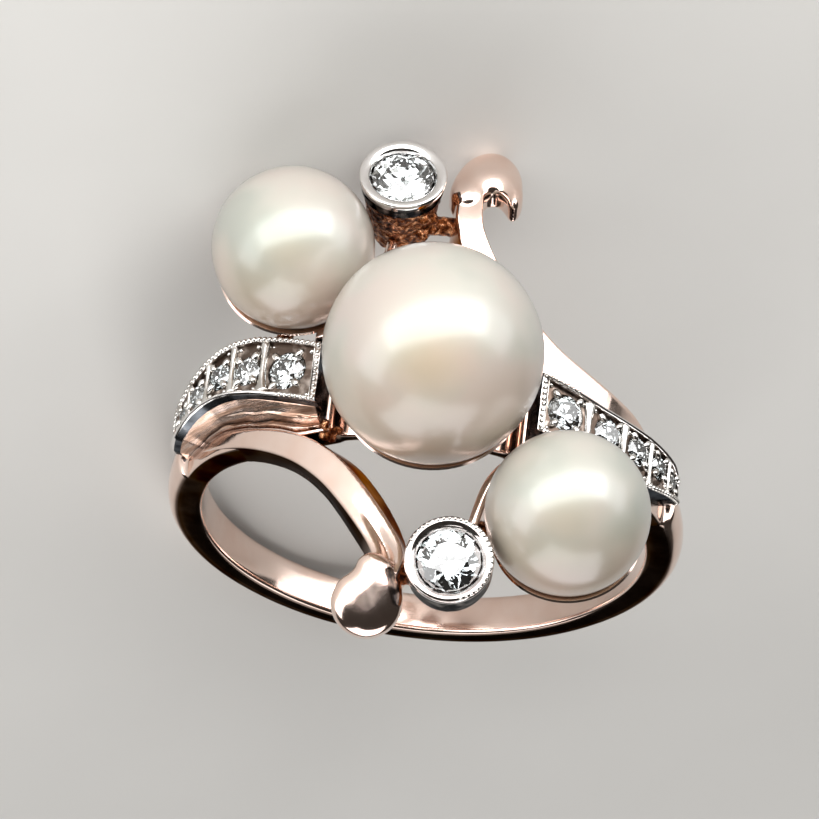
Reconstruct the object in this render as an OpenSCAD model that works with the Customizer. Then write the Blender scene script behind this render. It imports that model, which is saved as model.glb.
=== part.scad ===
// Crossover ring in rose gold with three pearls in a slanted row, two collet-set
// round diamonds and a white-metal panel of five small diamonds on each shoulder.
// Millimetres. The ring lies on its side, the way it rests on a table: on the back of
// its shank, a pearl cup and a scroll end. The head points to -Y and z = 0 is the table.

/* [Finger hole and shank] */
// Inner diameter of the finger hole
finger_d = 17.4; // [17:0.1:18.4]
// Width of the shank along the finger
shank_w = 1.7; // [1.5:0.1:2]
// Thickness of the shank at its back
shank_t = 1.15; // [1.05:0.05:1.3]

/* [Pearls] */
// Diameter of the centre pearl
centre_d = 8.42; // [7.8:0.02:8.5]
// Diameter of each side pearl
side_d = 6.28; // [5.6:0.02:6.3]
// Distance of a side pearl from the middle of the head, across the finger
side_x = 5.78; // [5.7:0.02:6]
// Distance of a side pearl from the middle of the head, along the finger
side_y = 5.08; // [5:0.02:5.4]
// Height of a side pearl's centre above the finger hole's edge
side_up = 2.46; // [2.4:0.02:2.8]

/* [Collets and their diamonds] */
// Outer diameter of a collet's rim
collet_d = 3.38; // [3.3:0.02:3.5]
// Diameter of the diamond in a collet
brilliant_d = 2.4; // [2.2:0.05:2.5]
// Distance of a collet from the middle of the head, across the finger
collet_x = 1.75; // [1.7:0.05:1.9]
// Distance of a collet's rim from the middle of the head, along the finger
collet_y = 8.04; // [8:0.02:8.4]
// Height of a collet's rim above the finger hole's edge
collet_up = 3.53; // [3.4:0.02:3.8]
// Outward lean of a collet in degrees
collet_lean = 11; // [8:1:13]
// Height of the white metal on the collet beside the scroll that points up
upper_collet_h = 0.8; // [0.7:0.1:1]
// Height of the white metal on the other collet
lower_collet_h = 1.7; // [1.5:0.1:1.9]

/* [Shoulders and scrolls] */
// Height of a diamond panel's rim above the finger hole's edge, at the head
panel_up = 2.5; // [2.4:0.05:2.6]
// Outer radius of a scroll end
scroll_r = 1.33; // [1.2:0.01:1.4]
// Thickness of a scroll end
scroll_t = 1.6; // [1.5:0.05:1.7]
// Outward droop of a scroll end in degrees
scroll_droop = 20; // [16:1:22]

/* [Hidden] */
$fn = 48;

r0 = finger_d / 2;              // finger hole radius
fit = 0.04;                     // gap between a piece and its seat
centre_r = centre_d / 2;
side_r = side_d / 2;
centre_z = r0 + 0.35 + centre_r;   // the centre pearl clears the finger by its cup
side_z = r0 + side_up;
cup_t = 0.22;                   // wall of a pearl cup
peg_r = 0.45;                   // peg that a pearl is glued on
collet_z = r0 + collet_up;
seat_r = 1.32 * collet_d / 3.38;   // mouth of a collet
wide = shank_w / 1.7;
centre_x = 0.12;                // small offsets of a piece made by hand
collet_off = -0.15;
upper_collet_out = 0.14;

// How the ring lies: turned about X, then Y, then half round, then set down.
lay_turn = [-66.63, -18.83, 172.1];
lay_shift = [0, 3.58, 5.425];

// Shank and shoulder, one row per angle above the level of the finger hole's centre:
// angle, near edge, far edge, height of the edges, height of the crown.
BAND = [
    [-90,  -0.85, 0.85, 0.70, shank_t],
    [-45,  -0.85, 0.85, 0.75, shank_t + 0.08],
    [-8,   -0.87, 0.87, 0.90, shank_t + 0.30],
    [15,   -0.95, 0.95, 0.90, shank_t + 0.30],
    [16.5, -0.96, 0.95, 0.95, 1.02],
    [28,   -1.15, 1.15, 1.06, 1.10],
    [36,   -1.35, 1.52, 1.18, 1.22],
    [45,   -1.60, 2.06, 1.20, 1.25],
    [53,   -1.70, 2.14, 1.20, 1.25],
    [60,   -1.70, 1.95, 1.20, 1.25],
    [68.5, -1.60, 1.65, 1.20, 1.25],
    [70,   -1.50, 1.55, 0.50, 0.55],
    [90,   -1.50, 1.50, 0.50, 0.55]];
BAND_ANGLES = concat([for (a = [-90:7.5:7.5]) a], [12, 15, 16.5, 20],
                     [for (a = [24:4.4:68]) a], [68.5, 70, 76, 83]);

// Arm that leaves the shoulder and ends in the scroll: angle, place along the finger,
// half width of its top, flare of its outer foot and of its inner foot, height of its
// underside, height of its top. The near arm first.
NEAR_ARM = [
    [24.5, -0.46, 0.05, 0.00, 0.00, 0.16, 1.05],
    [30,   -0.66, 0.20, 0.00, 0.00, 0.12, 1.15],
    [38,   -0.92, 0.33, 0.00, 0.00, 0.06, 1.30],
    [47,   -1.31, 0.40, 0.04, 0.00, 0.05, 1.36],
    [56,   -1.83, 0.49, 0.08, 0.05, 0.05, 1.36],
    [63.5, -2.46, 0.56, 0.14, 0.20, 0.05, 1.36],
    [70,   -3.33, 0.58, 0.20, 0.35, 0.05, 1.36],
    [75,   -4.28, 0.57, 0.22, 0.42, 0.05, 1.36],
    [79.5, -5.28, 0.56, 0.22, 0.42, 0.06, 1.37],
    [83.0, -6.15, 0.56, 0.18, 0.35, 0.08, 1.39],
    [85.2, -6.85, 0.58, 0.12, 0.20, 0.10, 1.44],
    [86.0, -7.45, 0.56, 0.06, 0.10, 0.18, 1.50],
    [86.0, -8.30, 0.46, 0.00, 0.00, 0.28, 1.50]];
// The far arm, with places along the finger turned half round
FAR_ARM = [
    [30,   -1.22, 0.26, 0.00, 0.00, 0.12, 1.13],
    [38,   -1.45, 0.49, 0.00, 0.00, 0.06, 1.28],
    [47,   -1.63, 0.62, 0.02, 0.00, 0.05, 1.35],
    [56,   -1.92, 0.74, 0.05, 0.00, 0.05, 1.36],
    [63.5, -2.40, 0.76, 0.12, 0.10, 0.05, 1.37],
    [70,   -3.28, 0.66, 0.22, 0.30, 0.05, 1.42],
    [75,   -4.17, 0.57, 0.28, 0.42, 0.05, 1.54],
    [79.2, -4.97, 0.57, 0.28, 0.42, 0.06, 1.72],
    [82.9, -5.89, 0.56, 0.22, 0.35, 0.08, 1.96],
    [85.3, -6.90, 0.52, 0.15, 0.20, 0.10, 2.06],
    [86.1, -7.70, 0.50, 0.08, 0.10, 0.18, 1.95],
    [86.0, -8.80, 0.44, 0.00, 0.00, 0.28, 1.68]];
NEAR_SCROLL_Y = -8.73;
FAR_SCROLL_Y = -9.20;

// Inner rail from the shoulder past the cups to the collet: across, along, underside, top.
RAIL = [
    [-4.60, 2.14, -0.80, 1.10],
    [-4.00, 2.20, -0.50, 1.50],
    [-3.30, 2.75, -0.20, 1.60],
    [-2.65, 3.70,  0.10, 1.60],
    [-2.30, 5.10,  0.20, 1.55],
    [-2.05, 6.60,  0.30, 1.45]];
rail_w = 0.44;

// Diamond panel of the left shoulder: angle, centre along the finger, half width, drop of
// its rim from panel_up.
LEFT_PANEL = [
    [17.8, 0.05, 0.33,  0.88],
    [22,   0.08, 0.50,  0.50],
    [28,   0.18, 0.66,  0.10],
    [32,   0.38, 0.76, -0.06],
    [36,   0.60, 0.86, -0.20],
    [40,   0.82, 0.97, -0.28],
    [44,   0.95, 1.07, -0.33],
    [48,   0.99, 1.15, -0.32],
    [53,   0.90, 1.22, -0.26],
    [60,   0.64, 1.26, -0.08],
    [67.5, 0.28, 1.25, -0.02]];
// The same for the right shoulder, with places along the finger turned half round
RIGHT_PANEL = [
    [17.8, -0.05, 0.33, 0.94],
    [22,   -0.02, 0.50, 0.60],
    [28,    0.08, 0.78, 0.34],
    [32,    0.18, 0.90, 0.24],
    [36,    0.28, 1.02, 0.18],
    [40,    0.36, 1.10, 0.12],
    [44,    0.42, 1.14, 0.08],
    [48,    0.45, 1.18, 0.05],
    [53,    0.42, 1.21, 0.03],
    [60,    0.22, 1.24, 0.00],
    [67.5, -0.03, 1.24, 0.00]];
PANEL_ANGLES = concat([17.8, 20.5, 22, 25], [for (i = [0:12]) 28 + i * 39.5 / 12]);

// The five stones of each panel: angle, radius, the angles where their pocket ends, place
// along the finger.
LEFT_STONES = [
    [60.0, 0.78, 55.3, 66.4, 0.60],
    [51.1, 0.61, 47.9, 54.5, 0.84],
    [43.9, 0.56, 40.8, 47.1, 0.95],
    [36.6, 0.50, 33.8, 40.0, 0.62],
    [30.6, 0.40, 27.6, 33.0, 0.31]];
RIGHT_STONES = [
    [61.3, 0.76, 56.4, 66.4, 0.04],
    [50.5, 0.66, 46.8, 55.7, 0.17],
    [41.6, 0.58, 38.1, 46.1, 0.11],
    [33.6, 0.50, 30.1, 37.4, 0.04],
    [26.3, 0.40, 22.8, 29.4, 0.00]];

function col(t, k, c) = lookup(k, [for (r = t) [r[0], r[c]]]);
function unit(v) = v / norm(v);
function last(v) = v[len(v) - 1];
// Catmull-Rom blend of the rows of a table, with n steps between rows
function blend_row(t, i, u) =
    let (p0 = t[max(i - 1, 0)], p1 = t[i], p2 = t[i + 1], p3 = t[min(i + 2, len(t) - 1)])
    0.5 * (2 * p1 + (p2 - p0) * u + (2 * p0 - 5 * p1 + 4 * p2 - p3) * u * u
           + (3 * p1 - p0 - 3 * p2 + p3) * u * u * u);
function smooth(t, n) = concat([for (i = [0:len(t) - 2]) for (j = [0:n - 1]) blend_row(t, i, j / n)],
                               [last(t)]);

// Solid through a list of sections with the same number of points each
module loft(secs, ring = false) {
    n = len(secs);
    m = len(secs[0]);
    pts = [for (s = secs) for (p = s) p];
    sides = [for (i = [0:n - (ring ? 1 : 2)]) for (j = [0:m - 1])
        let (a = i * m + j, b = i * m + (j + 1) % m, k = (i + 1) % n,
             c = k * m + (j + 1) % m, d = k * m + j)
        each [[a, b, c], [a, c, d]]];
    caps = ring ? [] : [[for (j = [m - 1:-1:0]) j], [for (j = [0:m - 1]) (n - 1) * m + j]];
    polyhedron(points = pts, faces = concat(sides, caps), convexity = 8);
}

// Round bar between two points
module rod(p, q, r) {
    v = q - p;
    translate(p)
        rotate([0, acos(v[2] / norm(v)), atan2(v[1], v[0])])
            cylinder(r = r, h = norm(v));
}

// Puts its children at an angle above the level, at place y along the finger
module at_angle(a, y, r) {
    rotate([0, a - 90, 0]) translate([0, y, r]) children();
}

// The other half of the head is the same, turned half round
module half(side) {
    rotate([0, 0, side > 0 ? 0 : 180]) children();
}

// Lays the whole ring on its side
module lay() {
    translate(lay_shift) rotate(lay_turn) children();
}

// One section of the band: flat sides and a domed outer face
function band_section(a, side) =
    let (ya = side > 0 ? col(BAND, a, 1) : -col(BAND, a, 2),
         yb = side > 0 ? col(BAND, a, 2) : -col(BAND, a, 1),
         re = r0 + col(BAND, a, 3), rc = r0 + col(BAND, a, 4), ri = r0 - 0.3,
         flat = concat([[ya, ri], [ya, re]],
                       [for (k = [1:5]) let (w = 180 - 30 * k)
                           [(ya + yb) / 2 + (yb - ya) / 2 * cos(w), re + (rc - re) * sin(w)]],
                       [[yb, re], [yb, ri]]))
    [for (p = flat) [-side * p[1] * cos(a), p[0] * wide, p[1] * sin(a)]];

module band() {
    n = len(BAND_ANGLES);
    loft(concat([for (a = BAND_ANGLES) band_section(a, 1)], [band_section(90, 1)],
                [for (i = [n - 1:-1:1]) band_section(BAND_ANGLES[i], -1)]), ring = true);
}

// One section of the arm at row i of its smoothed table
function arm_point(r, h) = [-cos(r[0]) * (r0 + h), r[1], sin(r[0]) * (r0 + h)];
function arm_section(t, i) =
    let (r = t[i], up = [-cos(r[0]), 0, sin(r[0])],
         way = unit(arm_point(t[min(i + 1, len(t) - 1)], 1) - arm_point(t[max(i - 1, 0)], 1)),
         out = unit(cross(way, up)), w = r[2], b = r0 + r[5], h = r0 + r[6],
         c = arm_point(r, -r0))
    [for (p = [[w + r[3], b], [w + r[3] * 0.25, h - 0.3], [0.7 * w, h - 0.06], [0, h],
               [-0.7 * w, h - 0.06], [-w - r[4] * 0.25, h - 0.3], [-w - r[4], b]])
        c + out * p[0] + up * p[1]];

module arm(side) {
    t = smooth(side > 0 ? NEAR_ARM : FAR_ARM, 2);
    loft([for (i = [0:len(t) - 1]) arm_section(t, i)]);
}

// Rounded, slightly domed disc that ends an arm
module scroll(side) {
    k = scroll_r / 1.33;
    translate([-scroll_r - 0.03, side > 0 ? NEAR_SCROLL_Y : FAR_SCROLL_Y, r0 + 0.45]) rotate([scroll_droop, 0, 0])
        rotate_extrude()
            polygon([[0, 0], [0.85 * k, 0], [1.18 * k, 0.18], [1.33 * k, 0.52], [1.33 * k, scroll_t - 0.62],
                     [1.2 * k, scroll_t - 0.3], [0.85 * k, scroll_t - 0.08], [0, scroll_t]]);
}

module rail() {
    t = smooth(RAIL, 2);
    loft([for (i = [0:len(t) - 1])
        let (r = t[i], way = unit([t[min(i + 1, len(t) - 1)][0] - t[max(i - 1, 0)][0],
                                   t[min(i + 1, len(t) - 1)][1] - t[max(i - 1, 0)][1], 0]),
             out = cross(way, [0, 0, 1]) * rail_w / 2, c = [r[0], r[1], 0])
        [c + out + [0, 0, r0 + r[2]], c + out + [0, 0, r0 + r[3]],
         c - out + [0, 0, r0 + r[3]], c - out + [0, 0, r0 + r[2]]]]);
}

// Thin dish under a pearl, cut off level, with its peg
module cup(r, z, rim, base_r) {
    intersection() {
        translate([0, 0, z]) sphere(r = r + fit + cup_t);
        translate([0, 0, rim - 10]) cylinder(r = r + 1, h = 10);
    }
    translate([0, 0, z - r - 0.62]) cylinder(r = base_r, h = 0.9);
}

module peg(r, z) {
    translate([0, 0, z - r - 0.2]) cylinder(r = peg_r, h = r);
}

// Frame of a collet: rim at z = 0, axis leaning outwards
module at_collet(side) {
    translate([-collet_x + side * collet_off, collet_y + (side > 0 ? upper_collet_out : 0), collet_z])
        rotate([-collet_lean, 0, 0]) children();
}

module collet_base(side, h) {
    at_collet(side) translate([0, 0, -3.3]) rotate_extrude()
        polygon([[0, 0], [1.15, 0], [1.5, 3.3 - h - fit], [0.95, 3.3 - h - fit], [0.95, 0.5], [0, 0.5]]);
}

// Everything soldered on one half of the head; h is the white metal on its collet
module half_mount(side, h) {
    arm(side);
    scroll(side);
    rail();
    translate([-side_x, side_y, 0]) cup(side_r, side_z, side_z - 1.84, 1.1);
    collet_base(side, h);
    rod([-side_x, side_y - 1, r0 - 1], [-6.0, 1.9, r0 - 1.45], 0.4);
    rod([-side_x + 0.8, side_y, r0 - 0.95], [-2.3, 5.1, r0 + 0.55], 0.35);
    rod([-collet_x + 0.5, 7.55, r0 + 0.85], [0.4, 7.55, r0 + 0.85], 0.45);
}

module mount() {
    color("#e3b8a0") lay() difference() {
        union() {
            difference() {
                union() {
                    band();
                    translate([centre_x, 0, 0]) cup(centre_r, centre_z, centre_z - 2.66, 1.4);
                    half(1) half_mount(1, upper_collet_h);
                    half(-1) half_mount(-1, lower_collet_h);
                }
                translate([centre_x, 0, centre_z]) sphere(r = centre_r + fit);
                for (s = [1, -1]) half(s) translate([-side_x, side_y, side_z]) sphere(r = side_r + fit);
            }
            translate([centre_x, 0, 0]) peg(centre_r, centre_z);
            for (s = [1, -1]) half(s) translate([-side_x, side_y, 0]) peg(side_r, side_z);
        }
        rotate([90, 0, 0]) translate([0, 0, -15]) cylinder(r = r0, h = 30, $fn = 96);
    }
}

// Drilled pearl
module pearl(r, z) {
    difference() {
        translate([0, 0, z]) sphere(r = r, $fn = 64);
        translate([0, 0, z - r - 1]) cylinder(r = peg_r + fit, h = r + 0.9);
    }
}

module centre_pearl() {
    color("#efece4") lay() translate([centre_x, 0, 0]) pearl(centre_r, centre_z);
}
module side_pearl(s) {
    color("#e9e6dc") lay() half(s) translate([-side_x, side_y, 0]) pearl(side_r, side_z);
}

// White-metal collet: flat rim, setting edge, bore below the stone
module collet(s, h) {
    o = collet_d / 2;
    color("#dfe1e3") lay() half(s) at_collet(s) translate([0, 0, -h]) rotate_extrude()
        polygon([[0.98, 0], [o - 0.12, 0], [o - 0.05, h - 0.25], [o, h - 0.15], [o, h - 0.04], [o - 0.05, h],
                 [seat_r + 0.04, h], [seat_r, h - 0.04], [seat_r, h - 0.36], [0.98, h - 0.56]]);
}

// Diamond panel of one shoulder: five pockets, each with a cone-shaped seat and a hole
function table(s) = s > 0 ? LEFT_PANEL : RIGHT_PANEL;
function stones(s) = s > 0 ? LEFT_STONES : RIGHT_STONES;
function panel_top(a, s) = r0 + panel_up - col(table(s), a, 3);
function panel_foot(a) = r0 + max(col(BAND, a, 4), col(BAND, a, 3)) + fit;
module panel(s) {
    color("#d3d6d9") lay() half(s) difference() {
        loft([for (a = PANEL_ANGLES)
            let (c = col(table(s), a, 1), w = col(table(s), a, 2), t = panel_top(a, s), f = panel_foot(a))
            [for (p = [[-w, f], [-w, t - 0.1], [-w + 0.1, t], [w - 0.1, t], [w, t - 0.1], [w, f]])
                [-p[1] * cos(a), c + p[0], p[1] * sin(a)]]]);
        for (g = stones(s)) {
            mid = (g[2] + g[3]) / 2;
            t = panel_top(mid, s);
            deep = min(0.36, 0.2 + g[1] * 0.22);
            // pocket with a level floor between slanting walls
            loft([for (a = [g[2], mid, g[3]])
                let (c = col(table(s), a, 1), p = col(table(s), a, 2) - 0.22, q = (t - deep) / cos(a - mid))
                [for (e = [[-p, q], [-p, q + 1], [p, q + 1], [p, q]])
                    [-e[1] * cos(a), c + e[0], e[1] * sin(a)]]]);
            d = (0.55 * g[1] + 0.03) * 0.89;
            at_angle(g[0], g[4], t - deep) {
                translate([0, 0, -d]) cylinder(r1 = 0.45 * g[1], r2 = g[1] + 0.03, h = d);
                translate([0, 0, -2]) cylinder(r = 0.45 * g[1], h = 2.01 - d);
                translate([0, 0, -0.01]) cylinder(r = g[1] + 0.03, h = 0.1);
            }
        }
    }
}

// Round brilliant with its girdle at z = 0: table, stars, kites and girdle facets above,
// mains and girdle facets below, small flat culet
module brilliant(r) {
    rt = 0.56 * r; ch = 0.30 * r; rm = 0.80 * r; g = 0.03 * r;
    pd = 0.82 * r; rc = 0.08 * r; rp = 0.42 * r;
    zm = g + ch * (r - rm * cos(22.5)) / (r - rt);
    zp = -g - pd * (r - rp * cos(22.5)) / (r - rc);
    pts = concat([for (k = [0:7]) [rt * cos(45 * k), rt * sin(45 * k), g + ch]],
                 [for (k = [0:7]) [rm * cos(45 * k + 22.5), rm * sin(45 * k + 22.5), zm]],
                 [for (k = [0:15]) [r * cos(22.5 * k), r * sin(22.5 * k), g]],
                 [for (k = [0:15]) [r * cos(22.5 * k), r * sin(22.5 * k), -g]],
                 [for (k = [0:7]) [rp * cos(45 * k + 22.5), rp * sin(45 * k + 22.5), zp]],
                 [for (k = [0:7]) [rc * cos(45 * k), rc * sin(45 * k), -g - pd]]);
    faces = concat([[7, 6, 5, 4, 3, 2, 1, 0]], [[for (k = [0:7]) 56 + k]],
        [for (k = [0:7]) each [
            [k, (k + 1) % 8, 8 + k],
            [k, 8 + k, 16 + 2 * k], [k, 16 + 2 * k, 8 + (k + 7) % 8],
            [8 + k, 16 + (2 * k + 1) % 16, 16 + 2 * k],
            [8 + k, 16 + (2 * k + 2) % 16, 16 + (2 * k + 1) % 16],
            [48 + k, 32 + 2 * k, 32 + (2 * k + 1) % 16],
            [48 + k, 32 + (2 * k + 1) % 16, 32 + (2 * k + 2) % 16],
            [56 + k, 32 + 2 * k, 48 + k], [56 + k, 48 + (k + 7) % 8, 32 + 2 * k],
            [56 + k, 48 + k, 56 + (k + 1) % 8]]],
        [for (k = [0:15]) each [[16 + k, 16 + (k + 1) % 16, 32 + (k + 1) % 16],
                                [16 + k, 32 + (k + 1) % 16, 32 + k]]]);
    polyhedron(points = pts, faces = faces, convexity = 4);
}

module collet_diamond(s) {
    r = brilliant_d / 2;
    color("#f4f8fa") lay() half(s) at_collet(s)
        translate([0, 0, -0.36 - 0.2 * (seat_r - r) / (seat_r - 0.98) + 0.15]) brilliant(r);
}

// Small stone i of a panel, resting on its pocket's floor
module shoulder_stone(s, i) {
    g = stones(s)[i];
    mid = (g[2] + g[3]) / 2;
    deep = min(0.36, 0.2 + g[1] * 0.22);
    color("#eef3f6") lay() half(s)
        at_angle(g[0], g[4], panel_top(mid, s) - deep + 0.03 * g[1] + fit) brilliant(g[1]);
}

mount();
panel(1);  // left_panel
panel(-1);  // right_panel
collet(1, upper_collet_h);  // upper_collet
collet(-1, lower_collet_h);  // lower_collet
centre_pearl();
side_pearl(1);  // upper_pearl
side_pearl(-1);  // lower_pearl
collet_diamond(1);  // upper_diamond
collet_diamond(-1);  // lower_diamond
for (i = [0:4]) {
    shoulder_stone(1, i);
    shoulder_stone(-1, i);
}
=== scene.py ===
# %% [markdown]
# # A pearl and diamond ring
# This lesson dresses a finger ring that was built as solids before. The ring is a
# crossover: two rose-gold shoulders pass each other under three pearls and curl up in
# a domed scroll each. Beside each scroll stands a small round collet with a diamond,
# and each shoulder carries a white-metal panel with five smaller diamonds.
# The solids come in as a fixed frame. They give the place and the size of everything,
# and the pieces made here sit exactly where the solids are. The stones keep their solids,
# whose facets are right, and only get a better material.

# %% Load the solids
import math
import random

import bmesh
import bpy
from mathutils import Matrix, Vector


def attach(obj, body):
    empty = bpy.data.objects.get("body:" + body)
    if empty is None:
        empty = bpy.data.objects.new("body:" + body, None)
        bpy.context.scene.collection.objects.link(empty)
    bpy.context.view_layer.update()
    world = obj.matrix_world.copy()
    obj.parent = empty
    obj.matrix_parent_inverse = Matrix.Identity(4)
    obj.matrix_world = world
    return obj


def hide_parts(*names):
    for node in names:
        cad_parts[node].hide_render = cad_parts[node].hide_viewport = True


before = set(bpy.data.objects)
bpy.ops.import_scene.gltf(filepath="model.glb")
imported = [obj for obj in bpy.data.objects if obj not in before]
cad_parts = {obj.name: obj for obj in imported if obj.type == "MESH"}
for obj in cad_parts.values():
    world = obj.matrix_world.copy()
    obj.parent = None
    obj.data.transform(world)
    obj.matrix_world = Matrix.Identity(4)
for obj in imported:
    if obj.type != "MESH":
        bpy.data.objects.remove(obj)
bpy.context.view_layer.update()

# %% [markdown]
# ## Working upright
# The ring lies on its side, but a goldsmith thinks of it upright: X from side to side,
# Y along the finger, Z out through the head. So every piece is shaped upright and in
# millimetres, and at the end one matrix lays it down and makes metres of it. The place
# then sits in the mesh, and the object itself stays at the origin.

# %% The matrix that lays the ring down
def turn(degrees, axis):
    return Matrix.Rotation(math.radians(degrees), 4, axis)


LAID = Matrix.Translation((0, 3.58, 5.425)) @ turn(172.1, "Z") @ turn(-18.83, "Y") @ turn(-66.63, "X")
TO_TABLE = Matrix.Scale(0.001, 4) @ LAID
HOLE = 8.7            # radius of the finger hole
FIT = 0.04            # gap between a set piece and its seat
SAME_SPOT = 0.0005    # two points closer than this are one
print("the head points to", [round(v, 2) for v in LAID.to_3x3() @ Vector((0, 0, 1))])

# %% [markdown]
# ## Small helpers for the bench
# An operator works on all that is selected, so each piece starts with an empty
# selection. These few functions select, name, shape and join what lies on the bench.

# %% Bench helpers
def clear():
    if bpy.context.object and bpy.context.object.mode != "OBJECT":
        bpy.ops.object.mode_set(mode="OBJECT")
    bpy.ops.object.select_all(action="DESELECT")


def call(ob, name):
    ob.name = ob.data.name = name
    return ob


def work_on(ob, *others):
    clear()
    for o in (ob,) + others:
        o.select_set(True)
    bpy.context.view_layer.objects.active = ob


def edit(ob):
    work_on(ob)
    bpy.ops.object.mode_set(mode="EDIT")
    bpy.ops.mesh.select_all(action="SELECT")


def leave():
    bpy.ops.object.mode_set(mode="OBJECT")


def finish_with(ob, kind, **settings):
    work_on(ob)
    m = ob.modifiers.new(kind.lower(), kind)
    for key, value in settings.items():
        setattr(m, key, value)
    bpy.ops.object.modifier_apply(modifier=m.name)


def join(ob, *others):
    work_on(ob, *others)
    bpy.ops.object.join()
    return ob

# %% [markdown]
# ## Places on a hoop
# `place` gives a spot by its angle round the hoop, its place along the finger and its
# distance from the hoop's axis. The head's second half is the first one turned half
# round, which `half` does to a point: side 1 is the near arm's, side -1 the far arm's.
# `look_up` reads a table between its rows, and `ease` draws a curve through them.

# %% Places and tables
def place(angle, y, r, side=1):
    a = math.radians(angle)
    return Vector((-side * r * math.cos(a), side * y, r * math.sin(a)))


def half(p, side):
    return Vector((side * p[0], side * p[1], p[2]))


def within(value):
    return max(0.0, min(1.0, value))


def look_up(table, key, column):
    rows = sorted(table, key=lambda r: r[0])
    if key <= rows[0][0]:
        return rows[0][column]
    for a, b in zip(rows, rows[1:]):
        if key <= b[0]:
            return a[column] + (b[column] - a[column]) * (key - a[0]) / (b[0] - a[0])
    return rows[-1][column]


def ease(rows, steps):
    """A smooth curve through the rows of a table."""
    out = []
    for i in range(len(rows) - 1):
        p = [rows[max(i - 1, 0)], rows[i], rows[i + 1], rows[min(i + 2, len(rows) - 1)]]
        for j in range(steps):
            u = j / steps
            out.append([0.5 * (2 * b + (c - a) * u + (2 * a - 5 * b + 4 * c - d) * u * u
                               + (3 * b - a - 3 * c + d) * u ** 3) for a, b, c, d in zip(*p)])
    return out + [list(rows[-1])]

# %% [markdown]
# ## Finishing a piece
# `lay_down` is the last step of every piece: it puts the place into the mesh, smooths the
# skin, ties the piece to the ring and hides the solids that it stands for. Before that,
# the first function below keeps on every point of a polished piece how much it faces
# sideways. The gold reads the value and is painted dark brown there: a painted reflection
# of a black studio, since on this pale table those sides would be bright.

# %% The painted reflection on the sides, and the last step of a piece
pieces = []
OUTER_WAY = Vector((-0.5, -0.8, 0))      # the near arm's outer side, on the upright ring


def paint_reflection_on_sides(ob, side, until=-99.0, inner=1.0):
    """The amount of painted reflection: 1 on a spot that faces the outer side, `inner` on the other, and 0 past a
    place.
    """
    film = ob.data.attributes.new("film", "FLOAT", "POINT")
    for v in ob.data.vertices:
        c, n = half(v.co, side), half(v.normal, side)
        outwards = abs(n.dot(Vector((c.x, 0, c.z)).normalized()))
        # none on a spot that faces within 52 degrees of straight out, all of it from 71 degrees
        amount = within((0.62 - outwards) / 0.3) * within((c.y - until) / 1.2)
        film.data[v.index].value = amount * (1.0 if n.dot(OUTER_WAY) > 0 else inner)


def lay_down(ob, slot, *nodes, sharp=None):
    """Puts a finished piece where the lying ring is and hides the solids that it stands for."""
    work_on(ob)
    ob.data.transform(TO_TABLE @ ob.matrix_world)
    ob.matrix_world = Matrix.Identity(4)
    if sharp:
        bpy.ops.object.shade_smooth_by_angle(angle=math.radians(sharp))
    else:
        bpy.ops.object.shade_smooth()
    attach(ob, "root")
    if nodes:
        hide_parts(*nodes)
    pieces.append(ob)
    print(ob.name, len(ob.data.polygons), "faces")

# %% [markdown]
# ## Drawing a bar through its sections
# Shank, shoulders and rails change their section all the way along. On the bench such a
# bar is forged and filed. Here a filled circle is laid on the first section, and it is
# extruded once for each further section and laid on that one. Every corner keeps its
# number in an attribute, which the extrude copies, so the corners never get mixed up.
# Round pieces are turned on a lathe instead, from a profile.

# %% Drawing a bar and turning a profile
def draw_bar(name, sections, ring=False):
    clear()
    bpy.ops.mesh.primitive_circle_add(vertices=len(sections[0]), radius=1, fill_type="NGON")
    ob = call(bpy.context.object, name)
    corner = ob.data.attributes.new("corner", "INT", "POINT")
    for i in range(len(sections[0])):
        corner.data[i].value = i
    edit(ob)
    for k, section in enumerate(sections):
        if k:
            bpy.ops.mesh.extrude_region()
        bm = bmesh.from_edit_mesh(ob.data)
        number = bm.verts.layers.int["corner"]
        for v in bm.verts:
            if v.select:
                v.co = section[v[number]]
        bmesh.update_edit_mesh(ob.data)
    if ring:
        bpy.ops.mesh.select_all(action="DESELECT")
        bpy.ops.mesh.select_face_by_sides(number=4, type="GREATER")
        bpy.ops.mesh.delete(type="ONLY_FACE")
        bpy.ops.mesh.select_all(action="SELECT")
        bpy.ops.mesh.remove_doubles(threshold=SAME_SPOT)
    bpy.ops.mesh.select_all(action="SELECT")
    bpy.ops.mesh.normals_make_consistent(inside=False)
    leave()
    ob.data.attributes.remove(ob.data.attributes["corner"])
    return ob


def lathe(name, profile, steps=64, closed=False):
    """Turns a profile of (radius, height) once round the upright axis."""
    clear()
    bpy.ops.mesh.primitive_circle_add(vertices=len(profile), radius=1, fill_type="NOTHING")
    ob = call(bpy.context.object, name)
    for v, (r, z) in zip(ob.data.vertices, profile):
        v.co = (r, 0, z)
    edit(ob)
    if not closed:
        bm = bmesh.from_edit_mesh(ob.data)
        bm.edges.ensure_lookup_table()
        bm.verts.ensure_lookup_table()
        ends = {bm.verts[0], bm.verts[len(profile) - 1]}
        for e in bm.edges:
            e.select_set(set(e.verts) == ends)
        bmesh.update_edit_mesh(ob.data)
        bpy.ops.mesh.delete(type="EDGE")
        bpy.ops.mesh.select_all(action="SELECT")
    bpy.ops.mesh.spin(steps=steps, angle=2 * math.pi, center=(0, 0, 0), axis=(0, 0, 1))
    bpy.ops.mesh.select_all(action="SELECT")
    bpy.ops.mesh.remove_doubles(threshold=SAME_SPOT)
    bpy.ops.mesh.normals_make_consistent(inside=False)
    leave()
    return ob
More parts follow.
